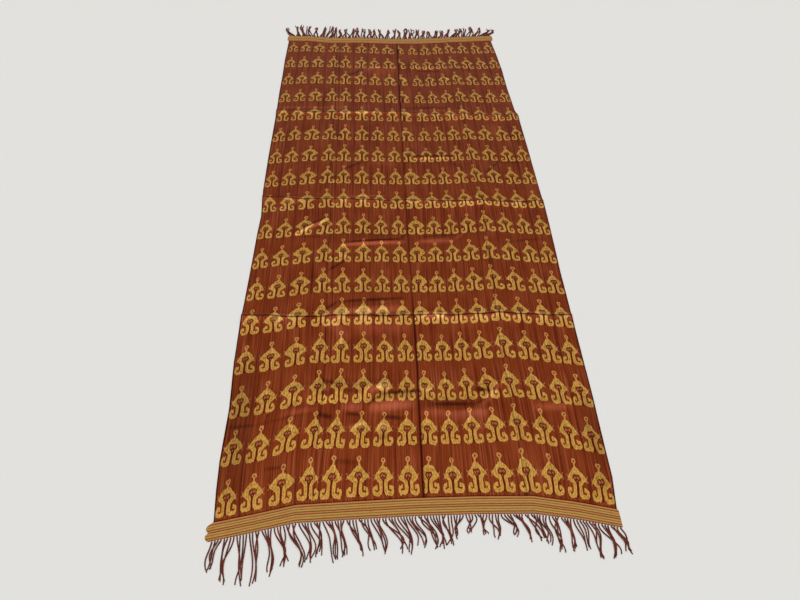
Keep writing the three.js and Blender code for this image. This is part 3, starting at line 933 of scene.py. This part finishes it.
def heading(end):
    """A strip along the weave's end: its stations run straight on past both selvedges, and
    its lines outwards rise over each cord as a half sine. Past a selvedge it narrows by
    the square of how far out it is, and the left end is scalloped by a sine."""
    table = HEADINGS[end]
    left, right = table["left"], table["right"]
    x, y = weave_end(table["warp"])
    slope_left = (y[SLOPE_STEPS] - y[0]) / (x[SLOPE_STEPS] - x[0])
    slope_right = (y[-1] - y[-1 - SLOPE_STEPS]) / (x[-1] - x[-1 - SLOPE_STEPS])
    place = np.linspace(x[0] - left, x[-1] + right, LINES_ALONG)
    past_left = np.clip((x[0] - place) / left, 0, 1)
    past_right = np.clip((place - x[-1]) / right, 0, 1)
    base = np.interp(place, x, y) - past_left * left * slope_left + past_right * right * slope_right
    past = np.maximum(past_left, past_right)[:, None]

    out = lines_between(np.concatenate([[0], np.cumsum(CORD_WIDTHS)]), LINES_IN_CORD)
    cord = np.arange(len(out)) / LINES_IN_CORD
    height = CORD_VALLEY + (CORD_CREST - CORD_VALLEY) * np.abs(np.sin(np.pi * cord))
    height = height * (1 - END_DROP * past**3)
    shrink = table["shrink"] * past**2
    outwards = GAP + shrink + out / HEADING_WIDTH * (HEADING_WIDTH - 2 * shrink)
    scallop = 0.5 - 0.5 * np.abs(np.sin(2 * np.pi * out / HEADING_WIDTH)) ** 0.7
    along = place[:, None] + (past_left * left)[:, None] * scallop
    across = base[:, None] + table["out"] * outwards
    top = put(along, across, height)
    under = put(along, across, np.zeros_like(height))
    made = closed_surface("heading_" + end + "_cords", top, under, turned=table["out"] > 0)
    both_sides(made, "cords", along, out, cord)
    return made


HEADING_GOLD = colour(190, 147, 80)
HEADING_ROSE = colour(190, 128, 76)
HEADING_LINE = colour(118, 64, 14)
CORD_DARK = colour(58, 18, 10)
WRAP_PITCH, WRAP_SLANT, WRAP_RELIEF = 3.4, 5.0, 0.0006  # the turns of the twined cords, the last in metres
ROOT_PITCH = 7.6  # of the fringe's roots at the outer edge


def heading_material():
    """Rows of twined cord: two colours, dark lines between the rows, slanting turns that
    lean the other way on every second row, and the fringe's roots at the outer edge."""
    made, shader, start = material("twined_cords")
    along, out, cord = read(start, "cords")
    rows = [abs(cord - number - 0.5) for number, kind in enumerate(CORD_KINDS) if kind == "rose"]
    rose = reduce(Value.least, rows).between(0.52, 0.48)
    lines = {True: [], False: []}
    for place, kind, after in zip(np.cumsum(CORD_WIDTHS), CORD_KINDS, CORD_KINDS[1:]):
        lines[kind != after].append(abs(out - place))
    groove, seam = (reduce(Value.least, lines[changes]) for changes in (True, False))

    slant = (cord.math("FLOOR") * math.pi).math("COSINE")
    wrap = wave(along, WRAP_PITCH, slant * cord.math("FRACT") * WRAP_SLANT)
    rooted = wave(along, ROOT_PITCH).between(-0.3, 0.6)
    worn = noise(along * 0.05, out * 0.5, detail=3.0)
    band = rose.blend(HEADING_GOLD, HEADING_ROSE)
    band = (worn.between(0.42, 0.75) * 0.35).blend(band, HEADING_LINE)
    band = (wrap.between(-0.2, -1.0) * 0.25).blend(band, HEADING_LINE)
    band = (groove.between(1.9, 0.7) * 0.95).blend(band, HEADING_LINE)
    band = (seam.between(1.5, 0.5) * 0.75).blend(band, HEADING_LINE)
    band = (out.between(HEADING_WIDTH - 2.0, HEADING_WIDTH - 0.6) * rooted).blend(band, CORD_DARK)
    band.into(shader.inputs["Base Color"])
    (wrap * 0.5).bump(0.7, WRAP_RELIEF).into(shader.inputs["Normal"])
    shader.inputs["Roughness"].default_value = 0.7
    shader.inputs["Specular IOR Level"].default_value = 0.1
    return made


twined = heading_material()
bands = {}
for end in ("near", "far"):
    bands[end] = heading(end)
    bands[end].data.materials.append(twined)
    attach(bands[end], "root")
    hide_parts("heading_" + end)


# The fringes. The warps past each heading are twisted into cords, which gather in clumps,
# lean together and cross one another, and lie on the floor.

# The clumps of cords, left to right: lean of each one's tip and its reach
CLUMPS = {
    "near": {
        "lean": [-11, -10, 8, 12, 20, 22, 27, 28, 16, 28, 16, 20, 26, 24, 38, 26, 25,
                 30, 16, 3, -8, -2, 0, 5, 20, 23, 22, 8, 6, 12, 10, 10, 14, 18],
        "reach": [76, 110, 120, 124, 108, 97, 102, 94, 86, 97, 87, 84, 76, 88, 86, 90, 72,
                  82, 78, 74, 58, 44, 51, 62, 56, 67, 66, 74, 88, 80, 71, 92, 82, 62],
    },
    "far": {
        "lean": [-30, -10, -18, -15, -3, 14, 18, 8, 2, -4, 10, -4, 3, 4, -3, -7, 8,
                 14, 2, 4, 6, 8, 6, 5, 13, 12, 16, 28, 14, 8, 16, 32, 44, 40],
        "reach": [82, 100, 112, 101, 94, 100, 109, 102, 82, 86, 94, 102, 92, 87, 85, 88, 86,
                  96, 85, 101, 95, 88, 80, 68, 74, 72, 85, 83, 87, 90, 97, 86, 66, 56],
    },
}
CORDS_IN_CLUMP = 4
CORD_SIDES, CORD_STEPS = 4, 14
CORD_RADIUS = {"near": 1.9, "far": 2.7}
CORD_TIP = 0.8  # the tip's radius against the root's
ROOT_INSET = 1.5  # from the strip's inner edge to the roots
SPLAY, STRAY, SWING = 5.0, 3.0, 3.4  # spread of the tips aside and along, and of the sway
HIGHEST_RISE = 2.2  # of a cord's middle, where it crosses others
UNEVEN = 0.05  # how much shorter every second and third cord is, a share for each place


def tubes(name, x, y, z, radius):
    """Closed round tubes along level paths, one in each column: every step has a ring of
    points, the radius times the cosine of its turn aside and times the sine up."""
    steps, count = x.shape
    run_x, run_y = np.gradient(x, axis=0), np.gradient(y, axis=0)
    run = np.hypot(run_x, run_y)
    turn = 2 * np.pi * np.arange(CORD_SIDES) / CORD_SIDES
    aside, up = radius[..., None] * np.cos(turn), radius[..., None] * np.sin(turn)
    round_x = x[..., None] + (run_y / run)[..., None] * aside
    round_y = y[..., None] - (run_x / run)[..., None] * aside
    points = put(round_x, round_y, z[..., None] + up).transpose(1, 0, 2, 3).reshape(-1, 3)

    ring = np.arange(CORD_SIDES)
    after = (ring + 1) % CORD_SIDES
    step = np.arange(steps - 1)[:, None] * CORD_SIDES
    wall = np.stack([step + ring, step + after, step + after + CORD_SIDES, step + ring + CORD_SIDES], -1)
    caps = np.stack([ring[::-1], ring + (steps - 1) * CORD_SIDES])
    one = np.concatenate([wall.reshape(-1, CORD_SIDES), caps])
    faces = one[None] + steps * CORD_SIDES * np.arange(count)[:, None, None]
    return surface(name, points, faces.reshape(-1, CORD_SIDES))


def fringe(end):
    """Round cords from the heading's outer edge, each along its own curve: it eases from
    its root into its clump and splays again at the tip, sways by a half and a whole sine,
    and rises a little in its middle by the square of a sine."""
    table, rows = HEADINGS[end], CLUMPS[end]
    x, y = weave_end(table["warp"])
    clumps = len(rows["lean"])
    count = clumps * CORDS_IN_CLUMP
    pitch = (x[-1] - x[0]) / count
    number = np.arange(count)
    clump = number // CORDS_IN_CLUMP
    root_x = x[0] + (number + 0.5) * pitch
    root_y = np.interp(root_x, x, y) + table["out"] * (2 * GAP + HEADING_WIDTH + ROOT_INSET)
    middle = x[0] + (clump + 0.5) * CORDS_IN_CLUMP * pitch
    squeeze = dice.uniform(-0.4, 1.0, count) * dice.uniform(0.1, 1.1, clumps)[clump]
    splay = dice.normal(0, SPLAY, count)
    gathered_x = middle + np.array(rows["lean"])[clump] + (root_x - middle) * squeeze
    shorter = 1 - UNEVEN * (number % 3)
    reach = np.array(rows["reach"])[clump] * shorter + dice.normal(0, STRAY, count)
    sway = dice.normal(0, SWING, (2, count))
    rise = dice.uniform(0, HIGHEST_RISE, count)

    share = np.linspace(0, 1, CORD_STEPS + 1)[:, None]
    eased = smooth((share / 0.8) ** 0.8)
    path_x = root_x * (1 - eased) + gathered_x * eased + splay * smooth((share - 0.55) / 0.45)
    path_x = path_x + sway[0] * np.sin(np.pi * share) + sway[1] * np.sin(2 * np.pi * share)
    path_y = root_y + table["out"] * reach * share
    radius = CORD_RADIUS[end] * (1 + (CORD_TIP - 1) * share) + np.zeros(count)
    path_z = radius + rise * np.sin(np.pi * share) ** 2
    made = tubes("fringe_" + end + "_cords", path_x, path_y, path_z, radius)

    along = (share * reach)[..., None]
    around = 2 * np.pi * np.arange(CORD_SIDES) / CORD_SIDES
    twist = np.stack(np.broadcast_arrays(along, around, number[:, None] * 0.37), -1)
    attribute(made, "twist", "POINT", twist.transpose(1, 0, 2, 3).reshape(-1, 3))
    return made


CORD_BROWN = colour(104, 38, 20)
CORD_RUSSET = colour(138, 62, 38)
PLY_PITCH = 2.6  # of a cord's twist


def cord_material():
    """Twisted cords: each between two browns, with a dark line between its plies."""
    made, shader, start = material("twisted_warp")
    along, around, number = read(start, "twist")
    cord = noise(along * 0.02, number).between(0.35, 0.7).blend(CORD_BROWN, CORD_RUSSET)
    cord = wave(along, PLY_PITCH, around).between(0.1, -1.0).blend(cord, CORD_DARK)
    cord.into(shader.inputs["Base Color"])
    shader.inputs["Roughness"].default_value = 0.8
    shader.inputs["Specular IOR Level"].default_value = 0.3
    return made


twisted = cord_material()
for end in ("near", "far"):
    cords = fringe(end)
    cords.data.materials.append(twisted)
    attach(cords, "root")
    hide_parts("fringe_" + end)


# The floor and the light. A plain pale floor under an even pale sky, with a wide soft
# lamp high up on the far side of the cloth and a smaller one almost overhead.

FLOOR_SIZE = 40.0
FLOOR_PALE = colour(226, 225, 221)
SKY_POWER = 0.2
# Lamps: degrees from straight overhead towards the far end, degrees across as seen from
# the cloth, and power
LAMPS = {"wide_lamp": (20.0, 100.0, 1.68), "key_lamp": (10.0, 18.0, 0.95)}

corners = np.array([(-1, -1, 0), (1, -1, 0), (1, 1, 0), (-1, 1, 0)]) * FLOOR_SIZE / 2
floor = surface("floor", corners, [(0, 1, 2, 3)])
pale, shader, _ = material("floor_pale")
shader.inputs["Base Color"].default_value = FLOOR_PALE
shader.inputs["Roughness"].default_value = 0.9
shader.inputs["Specular IOR Level"].default_value = 0.0
floor.data.materials.append(pale)

for name, (ahead, wide, power) in LAMPS.items():
    soft = bpy.data.lights.new(name, "SUN")
    soft.energy = power
    soft.angle = math.radians(wide)
    lamp = bpy.data.objects.new(name, soft)
    lamp.rotation_euler = (math.radians(-ahead), 0, 0)
    bpy.context.scene.collection.objects.link(lamp)
world = bpy.data.worlds.new("sky")
world.use_nodes = True
sky = world.node_tree.nodes["Background"]
sky.inputs["Color"].default_value = (1, 1, 1, 1)
sky.inputs["Strength"].default_value = SKY_POWER
bpy.context.scene.world = world
bpy.context.scene.view_settings.view_transform = "Standard"
